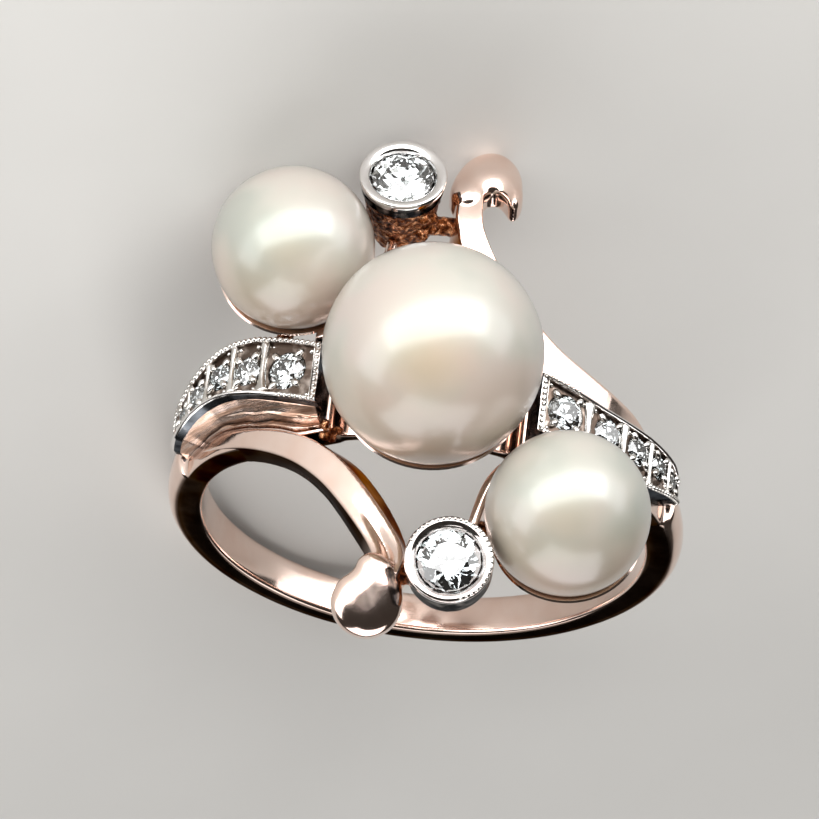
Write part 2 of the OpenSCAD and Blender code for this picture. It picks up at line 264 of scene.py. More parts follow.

# %% [markdown]
# ## The shank
# The shank is a half-round bar of rose gold, thin at its back and thicker where it meets
# the shoulders. There it drops to a flat step that carries the diamond panel. One table
# row gives, for an angle above the level of the hole, the near edge, the far edge, the
# height of the edges and the height of the crown over the finger hole. Its flat sides
# get a painted dark reflection of a black studio, kept as a value of each point.

# %% The shank
BAND = [(-90, -0.85, 0.85, 0.70, 1.15), (-45, -0.85, 0.85, 0.75, 1.23), (-8, -0.87, 0.87, 0.90, 1.45),
        (16.2, -0.95, 0.95, 0.90, 1.45), (17.6, -0.96, 0.95, 0.95, 1.02), (28, -1.15, 1.15, 1.06, 1.10),
        (36, -1.35, 1.52, 1.18, 1.22), (45, -1.60, 2.06, 1.20, 1.25), (53, -1.70, 2.14, 1.20, 1.25),
        (60, -1.70, 1.95, 1.20, 1.25), (68.5, -1.60, 1.65, 1.20, 1.25), (70, -1.50, 1.55, 0.50, 0.55),
        (90, -1.50, 1.50, 0.50, 0.55)]


def band_section(angle, side):
    a, b = look_up(BAND, angle, 1), look_up(BAND, angle, 2)
    edge, crown = HOLE + look_up(BAND, angle, 3), HOLE + look_up(BAND, angle, 4)
    flat = [(a + 0.16, HOLE), (a + 0.05, HOLE + 0.05), (a, HOLE + 0.17), (a, edge - 0.12), (a, edge - 0.04)]
    for k in range(1, 12):
        w = math.radians(180 - 15 * k)
        flat.append(((a + b) / 2 + (b - a) / 2 * math.cos(w), edge + (crown - edge) * math.sin(w)))
    flat += [(b, edge - 0.04), (b, edge - 0.12), (b, HOLE + 0.17), (b - 0.05, HOLE + 0.05), (b - 0.16, HOLE),
             ((a + b) / 2, HOLE)]
    return [place(angle, y, r, side) for y, r in flat]


band_angles = [-90 + 3.75 * i for i in range(28)] + [14.4, 16.2, 16.7, 17.2, 17.7, 20, 22] + \
              [24 + 2.2 * i for i in range(21)] + [68.8, 69.4, 70, 74, 78, 82, 86]
loop = [band_section(a, 1) for a in band_angles] + [band_section(90, 1)]
loop += [band_section(a, -1)[::-1] for a in reversed(band_angles)]
print("sections round the shank:", len(loop), "of", len(loop[0]), "points")
shank = draw_bar("shank", loop + [loop[0]], ring=True)
finish_with(shank, "SUBSURF", levels=1, render_levels=1)
paint_reflection_on_sides(shank, 1)
lay_down(shank, "rose_gold", "mount")

# %% [markdown]
# ## The two arms
# From each shoulder an arm of rose gold crosses over the finger hole. It is a bar drawn
# through sections, narrow where it leaves the shoulder and broader towards its end, with
# feet that flare out. Down the end of the near arm runs a crease, which the table below
# gives as a depth for each place along the finger.

# %% The arms' sections
# angle, place along the finger, half width, flare of the outer and inner foot, underside, top
NEAR_ARM = [(24.5, -0.46, 0.05, 0.00, 0.00, 0.16, 1.05), (30, -0.66, 0.20, 0.04, 0.00, 0.12, 1.15),
            (38, -0.92, 0.33, 0.08, 0.00, 0.06, 1.30), (47, -1.31, 0.40, 0.11, 0.00, 0.05, 1.36),
            (56, -1.83, 0.49, 0.13, 0.05, 0.05, 1.36), (63.5, -2.46, 0.56, 0.17, 0.20, 0.05, 1.36),
            (70, -3.33, 0.58, 0.20, 0.35, 0.05, 1.36), (75, -4.28, 0.57, 0.22, 0.42, 0.05, 1.36),
            (79.5, -5.28, 0.56, 0.22, 0.42, 0.06, 1.37), (83.0, -6.15, 0.56, 0.18, 0.35, 0.08, 1.39),
            (85.2, -6.85, 0.58, 0.12, 0.20, 0.10, 1.50), (86.0, -7.45, 0.56, 0.06, 0.10, 0.22, 1.74),
            (86.0, -8.10, 0.46, 0.00, 0.00, 0.40, 1.95)]
FAR_ARM = [(30, -1.22, 0.26, 0.00, 0.00, 0.12, 1.13), (38, -1.45, 0.49, 0.00, 0.00, 0.06, 1.28),
           (47, -1.63, 0.62, 0.02, 0.00, 0.05, 1.35), (56, -1.92, 0.74, 0.05, 0.00, 0.05, 1.36),
           (63.5, -2.40, 0.76, 0.12, 0.10, 0.05, 1.37), (70, -3.28, 0.66, 0.22, 0.30, 0.05, 1.42),
           (75, -4.17, 0.57, 0.28, 0.42, 0.05, 1.54), (79.2, -4.97, 0.57, 0.28, 0.42, 0.06, 1.72),
           (82.9, -5.89, 0.56, 0.22, 0.35, 0.08, 1.96), (85.3, -6.90, 0.52, 0.12, 0.16, 0.12, 2.08),
           (86.1, -7.70, 0.52, 0.06, 0.08, 0.34, 2.08), (86.0, -8.55, 0.46, 0.00, 0.00, 0.62, 2.00)]
CREASE = [(-7.9, 0.30), (-7.0, 0.30), (-6.1, 0.22), (-5.4, 0.10), (-4.6, 0.0)]     # along the finger, depth


def arm_sections(side):
    rows, out = ease(NEAR_ARM if side > 0 else FAR_ARM, 5), []
    spine = [place(r[0], r[1], HOLE + 1) for r in rows]
    for i, r in enumerate(rows):
        a = math.radians(r[0])
        up = Vector((-math.cos(a), 0, math.sin(a)))
        way = (spine[min(i + 1, len(rows) - 1)] - spine[max(i - 1, 0)]).normalized()
        side_way = way.cross(up).normalized()
        w, outer, inner, foot, top = r[2], r[3], r[4], HOLE + r[5], HOLE + r[6]
        dip = look_up(CREASE, r[1], 1) if side > 0 else 0.0
        centre = Vector((0, r[1], 0))
        face = [(w, -0.07), (w - 0.03, -0.015), (0.80 * w, 0), (0.55 * w, 0), (0.27 * w, -0.45 * dip), (0, -dip),
                (-0.27 * w, -0.45 * dip), (-0.55 * w, 0), (-0.80 * w, 0), (-w + 0.03, -0.015), (-w, -0.07)]
        edge = [(w + outer, foot), (w + 0.5 * outer, foot + 0.5 * (top - foot))]
        edge += [(x, top + z - side * 0.08 * x) for x, z in face]
        edge += [(-w - 0.5 * inner, foot + 0.5 * (top - foot)), (-w - inner, foot), (0, foot)]
        out.append([half(centre + side_way * p + up * q, side) for p, q in edge])
    return out

# %% [markdown]
# ## The scrolls
# An arm ends in a domed comma: the end of the bar was hammered flat, curled outwards and
# polished. The comma is an outline that is raised to a plate and meshed evenly, and its
# top is pushed up to a dome that falls off towards the rim. Arm and comma are then fused
# into one skin of small faces and smoothed, the way solder and polish round a joint off.

# %% The comma that ends an arm
COMMA_DOWN = [(-1.33, -0.35), (-1.36, 0.05), (-1.24, 0.45), (-1.05, 0.78), (-0.78, 1.00), (-0.58, 1.25),
              (-0.46, 1.60), (-0.12, 1.85), (0.34, 1.80), (0.78, 1.50), (1.10, 1.05), (1.28, 0.55), (1.33, 0.0),
              (1.24, -0.48), (0.98, -0.92), (0.58, -1.22), (0.10, -1.38), (-0.40, -1.32), (-0.86, -1.08),
              (-1.17, -0.74)]
COMMA_UP = [(-1.30, 0.45), (-1.34, 0.92), (-1.24, 1.36), (-1.04, 1.60), (-0.84, 1.46), (-0.64, 1.10),
            (-0.34, 0.82), (-0.02, 0.92), (0.18, 1.30), (0.42, 1.62), (0.72, 1.76), (1.05, 1.72), (1.36, 1.45),
            (1.48, 0.95), (1.40, 0.28), (1.18, -0.42), (0.84, -1.00), (0.36, -1.36), (-0.14, -1.44),
            (-0.60, -1.24), (-1.00, -0.76), (-1.22, -0.15)]
TILT = Matrix.Translation((-1.36, 0, 9.15)) @ turn(20, "X")
PLATE_FOOT, PLATE_THICK = 0.30, 0.62           # of the flat comma, before its dome
RIM_WIDTH, RISE, SINK = 0.95, 0.55, 0.16       # of the rounded rim, of the dome and of the belly under it


def fuse(ob, voxel, rounds):
    """One skin over all that overlaps, smoothed like a polished joint."""
    finish_with(ob, "REMESH", mode="VOXEL", voxel_size=voxel)
    finish_with(ob, "SMOOTH", factor=0.5, iterations=rounds)


def gap_to(outline, x, y):
    """Distance from a point to the nearest side of a closed outline."""
    best = 9.0
    for (ax, ay), (bx, by) in zip(outline, outline[1:] + outline[:1]):
        ux, uy = bx - ax, by - ay
        k = within(((x - ax) * ux + (y - ay) * uy) / (ux * ux + uy * uy + 1e-12))
        best = min(best, math.hypot(x - ax - k * ux, y - ay - k * uy))
    return best


def comma(name, outline, side):
    """A closed outline raised to a plate, meshed evenly, with its top pushed up to a dome."""
    clear()
    smooth = [tuple(p[:2]) for p in ease(outline + outline[:3], 3)][6:6 + 3 * len(outline)]
    bpy.ops.mesh.primitive_circle_add(vertices=len(smooth), radius=1, fill_type="NGON")
    ob = call(bpy.context.object, name)
    for v, (x, y) in zip(ob.data.vertices, smooth):
        v.co = (x, y, PLATE_FOOT)
    edit(ob)
    bpy.ops.mesh.extrude_region_move(TRANSFORM_OT_translate={"value": (0, 0, PLATE_THICK)})
    bpy.ops.mesh.select_all(action="SELECT")
    bpy.ops.mesh.normals_make_consistent(inside=False)
    leave()
    finish_with(ob, "REMESH", mode="VOXEL", voxel_size=0.05)
    for v in ob.data.vertices:
        k = min(gap_to(smooth, v.co.x, v.co.y) / RIM_WIDTH, 1.0)
        swell = math.sqrt(1 - (1 - k) ** 2)
        z = v.co.z
        v.co.z += RISE * swell * max(0.0, (z - 0.45) / 0.47) - SINK * swell * max(0.0, (0.60 - z) / 0.3)
    reach = -8.73 if side > 0 else -9.2
    ob.data.transform(Matrix.Rotation(0 if side > 0 else math.pi, 4, "Z") @ Matrix.Translation((0, reach, 0)) @ TILT)
    return ob


near_arm = join(draw_bar("near_arm", arm_sections(1)), comma("near_comma", COMMA_DOWN, 1))
far_arm = join(draw_bar("far_arm", arm_sections(-1)), comma("far_comma", COMMA_UP, -1))
for arm, side in ((near_arm, 1), (far_arm, -1)):
    fuse(arm, 0.05, 12)
    # the sides get a painted reflection: dark brown outside and golden brown inside, fading out before the comma
    paint_reflection_on_sides(arm, side, until=-7.4, inner=-1.0)
    lay_down(arm, "rose_gold", "mount")

# %% [markdown]
# ## The pearl cups
# A pearl is glued on a peg that stands in a shallow cup. The cup is a thin dish turned
# from a profile: outside, over the rounded rim, and back down inside. Only its rim shows
# under the pearl as a fine pink-gold line, and its back is what the ring rests on. A
# cylinder as wide as the finger hole cuts away what would stand in it.

# %% Turning the cups
def cut_finger_hole(ob):
    """Takes out of a piece what would stand in the finger hole."""
    clear()
    bpy.ops.mesh.primitive_cylinder_add(vertices=128, radius=HOLE + 0.01, depth=30, rotation=(math.pi / 2, 0, 0))
    bore = bpy.context.object
    bore.data.transform(bore.matrix_world)
    bore.matrix_world = Matrix.Identity(4)
    finish_with(ob, "BOOLEAN", operation="DIFFERENCE", object=bore, solver="EXACT")
    bpy.data.objects.remove(bore)


CENTRE_PEARL = ((0.12, 0.0, 13.26), 4.21, 10.60, 1.4)     # centre, radius, rim height, foot radius
UPPER_PEARL = ((-5.78, 5.08, 11.16), 3.14, 9.32, 1.1)
LOWER_PEARL = ((5.78, -5.08, 11.16), 3.14, 9.32, 1.1)
CUP_WALL, FOOT_DEPTH = 0.22, 0.62                         # thickness, and how far the foot goes under the pearl


def pearl_cup(name, spec):
    centre, r, rim, foot = spec
    inner, outer = r + FIT, r + FIT + CUP_WALL
    drop = rim - centre[2]
    first = math.acos(-drop / outer)
    profile = [(0.0, -r - FOOT_DEPTH), (foot - 0.08, -r - FOOT_DEPTH), (foot, -r - 0.54)]
    start = math.asin(min(foot / outer, 1)) + 0.06
    for i in range(13):
        a = start + (first - start) * i / 12
        profile.append((outer * math.sin(a), -outer * math.cos(a)))
    profile.append((outer * math.sin(first) - 0.07, drop + 0.05))
    last = math.acos(-drop / inner)
    for i in range(13):
        a = last * (1 - i / 12)
        profile.append((inner * math.sin(a), -inner * math.cos(a)))
    ob = lathe(name, profile, steps=72)
    ob.data.transform(Matrix.Translation(centre))
    return ob


for name, spec in (("centre_cup", CENTRE_PEARL), ("upper_cup", UPPER_PEARL), ("lower_cup", LOWER_PEARL)):
    cup = pearl_cup(name, spec)
    cut_finger_hole(cup)
    lay_down(cup, "rose_gold", "mount", sharp=40)

# %% [markdown]
# ## The rails
# A thin rail of rose gold runs from each shoulder past the cup to the cone that carries
# the collet. It is flat wire on edge, bent to a slow curve: a bar drawn through sections
# that stand across the curve, rounded by one subdivision.

# %% The rails
RAIL = [(-4.60, 2.14, -0.80, 1.10), (-4.00, 2.20, -0.50, 1.50), (-3.30, 2.75, -0.20, 1.60),
        (-2.65, 3.70, 0.10, 1.60), (-2.30, 5.10, 0.20, 1.55), (-2.05, 6.60, 0.30, 1.45)]


def rail_sections(side):
    rows, out = ease(RAIL, 4), []
    for i, (x, y, foot, top) in enumerate(rows):
        a, b = rows[max(i - 1, 0)], rows[min(i + 1, len(rows) - 1)]
        way = Vector((b[0] - a[0], b[1] - a[1], 0)).normalized()
        across = way.cross(Vector((0, 0, 1)))
        foot, top = foot + HOLE, top + HOLE
        edge = [(0.20, foot), (0.22, foot + 0.1), (0.22, top - 0.1), (0.16, top - 0.02), (0, top + 0.01),
                (-0.16, top - 0.02), (-0.22, top - 0.1), (-0.22, foot + 0.1), (-0.20, foot), (0, foot - 0.01)]
        out.append([half(Vector((x, y, 0)) + across * p + Vector((0, 0, q)), side) for p, q in edge])
    return out


for name, side in (("upper_rail", 1), ("lower_rail", -1)):
    rail = draw_bar(name, rail_sections(side))
    finish_with(rail, "SUBSURF", levels=1, render_levels=1)
    lay_down(rail, "rose_gold", "mount")

# %% [markdown]
# ## Cones and solder
# Behind the polished fronts the goldsmith's work is rough. A turned cone carries each
# collet, and solder bridges the gaps to the cup, the rail and the arm. Bars stand for the
# bridges and stretched balls for the drops. They are fused to one skin and dented with a
# noise texture, so that they catch light in many small spots.

# %% The cones under the collets, with their solder
COLLET_LEAN = -11     # degrees


def collet_place(side):
    reach = 8.04 + (0.14 if side > 0 else 0)
    spin = Matrix.Rotation(0 if side > 0 else math.pi, 4, "Z")
    return spin @ Matrix.Translation((-1.75 - 0.15 * side, reach, 12.23)) @ turn(COLLET_LEAN, "X")


def bridge(p, q, r):
    """A round bar of solder between two points, thinner in its middle."""
    clear()
    p, q = Vector(p), Vector(q)
    bpy.ops.mesh.primitive_cylinder_add(vertices=20, radius=r, depth=(q - p).length)
    ob = bpy.context.object
    edit(ob)
    bpy.ops.mesh.subdivide(number_cuts=2)
    leave()
    for v in ob.data.vertices:
        thin = 1 - 0.18 * math.cos(math.pi * v.co.z / (q - p).length)
        v.co.x, v.co.y = v.co.x * thin, v.co.y * thin
    turned = (q - p).to_track_quat("Z", "Y").to_matrix().to_4x4()
    ob.data.transform(Matrix.Translation((p + q) / 2) @ turned)
    return ob


def lump(p, r, seed):
    """A drop of solder."""
    clear()
    bpy.ops.mesh.primitive_ico_sphere_add(subdivisions=3, radius=r)
    ob = bpy.context.object
    pick = random.Random(seed)
    stretch = Vector((pick.uniform(0.8, 1.3), pick.uniform(0.8, 1.3), pick.uniform(0.7, 1.1)))
    ob.data.transform(Matrix.Translation(p) @ Matrix.Diagonal(stretch).to_4x4())
    return ob


def rough_cone(name, side, metal):
    profile = [(0, -3.3), (1.15, -3.3), (1.32, -2.2), (1.5, -metal - FIT), (0.95, -metal - FIT),
               (0.95, -2.8), (0, -2.8)]
    base = lathe(name, profile, 40)
    base.data.transform(collet_place(side))
    bars = [bridge(half((-5.78, 4.08, 7.7), side), half((-6.0, 1.9, 7.25), side), 0.4),
            bridge(half((-4.98, 5.08, 7.75), side), half((-2.3, 5.1, 9.25), side), 0.35),
            bridge(half((-1.25, 7.55, 9.55), side), half((0.4, 7.55, 9.55), side), 0.45)]
    rng = random.Random(7 + side)
    for i in range(7):
        a = math.radians(rng.uniform(-70, 40))
        below = -metal - rng.uniform(0.45, 1.5)
        spot = collet_place(side) @ Vector((1.35 * math.cos(a), 1.3 * math.sin(a) - 0.2, below))
        bars.append(lump(spot, rng.uniform(0.16, 0.30), i))
    return join(base, *bars)


def dent(ob, size, depth):
    """Moves a skin in and out by a cloudy noise, like a surface left from the torch."""
    tex = bpy.data.textures.new(ob.name + "_dents", "CLOUDS")
    tex.noise_scale = size
    tex.noise_depth = 2
    finish_with(ob, "DISPLACE", texture=tex, texture_coords="LOCAL", strength=depth, mid_level=0.5)


for name, side, metal in (("upper_cone", 1, 0.8), ("lower_cone", -1, 1.7)):
    cone = rough_cone(name, side, metal)
    fuse(cone, 0.06, 3)
    dent(cone, 0.28, 0.13)
    cut_finger_hole(cone)
    lay_down(cone, "rose_gold", "mount", sharp=50)

# %% [markdown]
# ## The strips beside the panels
# Between a panel's wall and the polished arm the mop can't reach. The gold there is a
# hollow moulding: it leaves the wall as a smooth strip, then shows the long wavy marks of
# the file, and ends beside the centre cup in a dark knot of solder drops. The moulding is
# drawn through sections whose grooves wander. The drops are fused like the cones.

# %% The filed strips and the solder knots
LEFT_PANEL = [(17.8, 0.05, 0.16, 0.95), (19.2, 0.06, 0.33, 0.78), (22, 0.08, 0.50, 0.50), (28, 0.18, 0.66, 0.10),
              (32, 0.38, 0.76, -0.06), (36, 0.60, 0.86, -0.20), (40, 0.82, 0.97, -0.28),
              (44, 0.95, 1.07, -0.33), (48, 0.99, 1.15, -0.32),
              (53, 0.90, 1.22, -0.26), (60, 0.64, 1.26, -0.08), (67.5, 0.28, 1.25, -0.02)]
RIGHT_PANEL = [(17.8, -0.05, 0.16, 0.99), (19.2, -0.05, 0.33, 0.86), (22, -0.02, 0.50, 0.60), (28, 0.08, 0.78, 0.34),
               (32, 0.18, 0.90, 0.24), (36, 0.28, 1.02, 0.18), (40, 0.36, 1.10, 0.12),
               (44, 0.42, 1.14, 0.08), (48, 0.45, 1.18, 0.05),
               (53, 0.42, 1.21, 0.03), (60, 0.22, 1.24, 0.00), (67.5, -0.03, 1.24, 0.00)]
PANEL = {1: LEFT_PANEL, -1: RIGHT_PANEL}      # angle, place along the finger, half width, drop
SIDES = {"left": 1, "right": -1}


def panel_at(angle, side):
    """Centre, half width and top of a panel at an angle."""
    table = PANEL[side]
    return look_up(table, angle, 1), look_up(table, angle, 2), HOLE + 2.5 - look_up(table, angle, 3)


def groove(angle, t):
    """Height of the file marks, from -1 in a hollow to 1 on a crest, across the strip from 0 to 1."""
    wander = 0.10 * math.sin(0.35 * angle) + 0.05 * math.sin(0.93 * angle + 3 * t)
    return within((t - 0.30) / 0.12) * math.cos(2 * math.pi * (2.6 * t - 0.15 + wander))


def strip_room(angle, side):
    """Where the strip starts at the wall, and how broad it is."""
    arm = NEAR_ARM if side > 0 else FAR_ARM
    y, w = panel_at(angle, side)[:2]
    edge = max(look_up(arm, angle, 1) + look_up(arm, angle, 2), look_up(BAND, angle, 1) + 0.04)
    return y - w, max(y - w - edge, 0.05)


def strip_section(angle, side):
    arm = NEAR_ARM if side > 0 else FAR_ARM
    top, shelf = panel_at(angle, side)[2], HOLE + look_up(BAND, angle, 4)
    wall, room = strip_room(angle, side)
    high = max(top - 0.38 - 0.005 * (angle - 20), shelf + 0.05)
    low = max(HOLE + look_up(arm, angle, 6) - 0.24, shelf)
    depth = 0.055 + 0.02 * math.sin(0.31 * angle) + 0.0015 * max(angle - 40, 0)
    points = [(wall + 0.08, shelf - 0.15), (wall + 0.08, high)]
    for k in range(27):
        t = k / 26
        lip = -0.40 * max(0.0, (t - 0.84) / 0.16)
        points.append((wall - room * t, low + (high - low) * (1 - t) ** 1.4 + depth * groove(angle, t) + lip))
    points.append((wall - room, shelf - 0.15))
    return [place(angle, q, r, side) for q, r in points]


for name, side in SIDES.items():
    strip = draw_bar("file_strip_" + name, [strip_section(19 + 0.6 * i, side) for i in range(80)])
    strip.data.attributes.new("along", "FLOAT_VECTOR", "POINT")
    strip.data.attributes.new("hollow", "FLOAT", "POINT")
    scratch, hollow = strip.data.attributes["along"], strip.data.attributes["hollow"]
    for v in strip.data.vertices:
        c = half(v.co, side)
        angle = math.degrees(math.atan2(c.z, -c.x))
        wall, room = strip_room(angle, side)
        t = (wall - c.y) / room
        scratch.data[v.index].vector = (math.radians(angle) * 1.8, c.y * 2.2, math.hypot(c.x, c.z) * 2.2)
        # dark brown in the hollows of the file marks, and painted shade in the groove beside the arm
        hollow.data[v.index].value = within(max(-groove(angle, t), (t - 0.82) / 0.08))
    lay_down(strip, "rose_gold", "mount", sharp=60)
    pick = random.Random(21)
    drops = []
    for k in range(9):
        spot = place(pick.uniform(66.5, 70.5), pick.uniform(-1.9, -1.15), HOLE + pick.uniform(0.85, 1.28), side)
        drops.append(lump(spot, pick.uniform(0.12, 0.22), k))
    knot = call(join(*drops), "solder_knot_" + name)
    fuse(knot, 0.045, 2)
    dent(knot, 0.16, 0.14)
    lay_down(knot, "rose_gold", "mount", sharp=60)

# %% [markdown]
# ## Pearls
# A cultured pearl is close to round, never exactly. It is a sphere of even faces whose
# skin is pushed in and out by a few hundredths of a millimetre with a broad noise. That
# is enough to bend the reflections a little, as on the real ones. Each point also keeps a
# warm tint, a painted reflection of the gold cup below and of the room in front, which the
# material reads.

# %% The three pearls
UPPER_SIDE = Vector((0, 0.75, 0.66))          # on the upright ring
FRONT = Vector((0.0, -0.55, 0.83))


def pearl(name, spec, node):
    centre, r = spec[:2]
    clear()
    bpy.ops.mesh.primitive_uv_sphere_add(segments=96, ring_count=64, radius=r - 0.006)
    ob = call(bpy.context.object, name)
    edit(ob)
    bpy.ops.transform.rotate(value=math.radians(70), orient_axis="X", center_override=(0, 0, 0))
    leave()
    dent(ob, 2.2, 0.024)
    # a painted warm reflection on each point: of the gold cup on the lower side, and of the room on a spot in the
    # middle of the front
    warmth = ob.data.attributes.new("warmth", "FLOAT", "POINT")
    for v in ob.data.vertices:
        below = 0.2 - 0.8 * v.co.dot(UPPER_SIDE) / r
        front = (0.8 if r > 4 else 0.4) * math.exp(-((v.co / r - FRONT).length / 0.42) ** 2)
        warmth.data[v.index].value = within(max(below, front))
    ob.data.transform(Matrix.Translation(centre))
    lay_down(ob, "pearl", node)


pearl("pearl_centre", CENTRE_PEARL, "centre_pearl")
pearl("pearl_upper", UPPER_PEARL, "upper_pearl")
pearl("pearl_lower", LOWER_PEARL, "lower_pearl")

# %% [markdown]
# ## The collets
# Each big diamond sits in a collet, a short tube whose top edge is pushed over the stone.
# Both are turned from a profile that shares its wall and its inside. The upper one has a
# broad plain rim. The lower one is taller, and its rim is flatter, to take beads. Each
# face keeps a value for its polish, low on the outer wall, where the metal is painted dark
# as a reflection of a black studio.

# %% Turning the collets
def collet(name, side, metal, rim_top, node, shine):
    profile = [(0.98, -metal), (1.57, -metal), (1.63, -metal + 0.3), (1.655, -0.34), (1.69, -0.16), (1.69, -0.08),
               (1.66, -0.02)] + rim_top + [(1.22, -0.30), (1.20, -0.36), (1.08, -0.48), (0.98, -0.62)]
    ob = lathe(name, profile, steps=96, closed=True)
    polish = ob.data.attributes.new("polish", "FLOAT", "FACE")
    for f in ob.data.polygons:
        wall = f.center.z < -0.30 and math.hypot(f.center.x, f.center.y) > 1.4
        # the outer wall gets a low value and is painted dark, as a reflection of a black studio
        polish.data[f.index].value = 0.33 if wall else shine
    ob.data.transform(collet_place(side))
    lay_down(ob, "white_metal", node, sharp=38)


plain_rim = [(1.62, 0.005), (1.50, 0.0), (1.38, -0.03), (1.30, -0.09), (1.25, -0.18)]
beaded_rim = [(1.63, -0.04), (1.57, -0.01), (1.49, -0.005), (1.40, -0.04), (1.31, -0.11), (1.25, -0.2)]
collet("bezel_upper", 1, 0.8, plain_rim, "upper_collet", 1.0)
collet("bezel_lower", -1, 1.7, beaded_rim, "lower_collet", 0.8)

# %% [markdown]
# ## Beads
# A millegrain wheel rolled along an edge leaves a row of tiny beads, and a setter's tool
# leaves grains of the same shape. One bead is modelled and copied to each spot with a
# mesh of its own, scaled and turned. The lower collet's rim wears thirty of them, on the
# part that the wheel could reach, and they get smaller towards both ends of the row.

# %% One bead, and the beaded rim of the lower collet
clear()
bpy.ops.mesh.primitive_uv_sphere_add(segments=8, ring_count=5, radius=1.0)
BEAD = bpy.context.object.data.copy()
bpy.data.objects.remove(bpy.context.object)


def string_of_beads(name, spots, *nodes):
    """Copies the bead to every (place, up, radius, stretch, way) and joins the copies."""
    made = []
    for p, up, r, stretch, way in spots:
        mesh = BEAD.copy()
        across = up.cross(way).normalized()
        along_it = across.cross(up).normalized()
        m = Matrix((along_it * r * stretch, across * r, up * r)).transposed().to_4x4()
        m.translation = p
        mesh.transform(m)
        ob = bpy.data.objects.new(name, mesh)
        bpy.context.scene.collection.objects.link(ob)
        made.append(ob)
    lay_down(call(join(*made), name), "white_metal", *nodes)


rim_beads = []
for k in range(30):
    a = math.radians(112 + 226 * k / 29)
    m = collet_place(-1)
    out = m.to_3x3() @ Vector((math.cos(a), math.sin(a), 0))
    up = m.to_3x3() @ Vector((0, 0, 1))
    size = 0.10 - 0.025 * abs(k - 14.5) / 14.5
    rim_beads.append((m @ Vector((1.585 * math.cos(a), 1.585 * math.sin(a), -0.045)), up, size, 1.0, up.cross(out)))
string_of_beads("bezel_beads", rim_beads, "lower_collet")

# %% [markdown]
# ## The diamond panels
# A panel is a channel of white metal soldered on the shoulder. It has a wall on each side
# and a floor that the stones stand on, and it narrows to a tip. It is drawn through
# sections, and a cone with a shaft bores the seat of each stone. The two panels differ,
# because the stones were fitted to each shoulder by eye.

# %% The channels
# angle, radius, the angles where the pocket ends, place along the finger
LEFT_STONES = [(60.0, 0.78, 55.3, 66.4, 0.60), (51.1, 0.61, 47.9, 54.5, 0.84), (43.9, 0.56, 40.8, 47.1, 0.95),
               (36.6, 0.50, 33.8, 40.0, 0.62), (30.6, 0.40, 27.6, 33.0, 0.31)]
RIGHT_STONES = [(61.3, 0.76, 56.4, 66.4, 0.04), (50.5, 0.66, 46.8, 55.7, 0.17), (41.6, 0.58, 38.1, 46.1, 0.11),
                (33.6, 0.50, 30.1, 37.4, 0.04), (26.3, 0.40, 22.8, 29.4, 0.00)]
STONES = {1: LEFT_STONES, -1: RIGHT_STONES}


def girdle_height(stone, side):
    return panel_at((stone[2] + stone[3]) / 2, side)[2] - min(0.36, 0.2 + 0.22 * stone[1])


def channel_section(angle, side):
    y, w, top = panel_at(angle, side)
    foot = HOLE + max(look_up(BAND, angle, 4), look_up(BAND, angle, 3)) + FIT
    open_part = 23.0 < angle < 66.4
    wall = 0.18 if open_part else w - 0.02
    floor = top - (0.27 if open_part else 0.04)
    edge = [(-w, foot), (-w, top - 0.12), (-w + 0.02, top - 0.05), (-w + 0.06, top - 0.012), (-w + 0.10, top),
            (-w + 0.15, top - 0.025), (-w + wall, top - 0.08), (-w + wall + 0.01, floor), (w - wall - 0.01, floor),
            (w - wall, top - 0.08), (w - wall + 0.03, top - 0.03), (w - 0.03, top - 0.03), (w, top - 0.10), (w, foot)]
    return [place(angle, y + p, q, side) for p, q in edge]


def stone_seat(stone, side):
    """The cutter for one stone: a cone under its girdle and a shaft above it."""
    angle, r = stone[0], stone[1]
    girdle = girdle_height(stone, side)
    clear()
    low = 0.9 * r
    bpy.ops.mesh.primitive_cone_add(vertices=40, radius1=0.30 * r, radius2=r + 0.02, depth=low)
    ob = bpy.context.object
    edit(ob)
    bm = bmesh.from_edit_mesh(ob.data)
    bm.faces.ensure_lookup_table()
    for f in bm.faces:
        f.select_set(f.normal.z > 0.9)
    bmesh.update_edit_mesh(ob.data)
    bpy.ops.mesh.extrude_region_move(TRANSFORM_OT_translate={"value": (0, 0, 0.6)})
    leave()
    spin = Matrix.Rotation(0 if side > 0 else math.pi, 4, "Z") @ turn(angle - 90, "Y")
    ob.data.transform(spin @ Matrix.Translation((0, stone[4], girdle - low / 2 + 0.02)))
    return ob


for name, side in SIDES.items():
    angles = [17.8, 18.4, 19.0, 19.6, 20.4, 21.2, 22.0, 22.9, 23.1]
    angles += [24 + 1.2 * i for i in range(36)] + [66.3, 66.5, 67.0, 67.5]
    channel = draw_bar("panel_" + name, [channel_section(a, side) for a in angles])
    for stone in STONES[side]:
        cutter = stone_seat(stone, side)
        finish_with(channel, "BOOLEAN", operation="DIFFERENCE", object=cutter, solver="EXACT")
        bpy.data.objects.remove(cutter)
    polish = channel.data.attributes.new("polish", "FLOAT", "FACE")
    for f in channel.data.polygons:
        c = half(f.center, side)
        angle, r = math.degrees(math.atan2(c.z, -c.x)), math.hypot(c.x, c.z)
        y, w, top = panel_at(angle, side)
        # 1 on the rims; a half on the outer walls and the wide end, painted dark as a reflection of a black studio; 0
        # in the pockets, which are brown
        polish.data[f.index].value = 1.0 if r > top - 0.09 else 0.5 if abs(c.y - y) > w - 0.05 or angle > 67.3 else 0.0
    lay_down(channel, "white_metal", name + "_panel", sharp=40)

# %% [markdown]
# ## Ridges and grains
# Between two stones the metal is cut down to a waisted ridge, thin in its middle and
# broad at the walls. A grain of metal is pushed over each stone at its four corners, and
# a smaller one fills each corner of the pocket. A ridge is a bar drawn across the
# channel, and the grains are stretched beads that point at the middle of their stone.

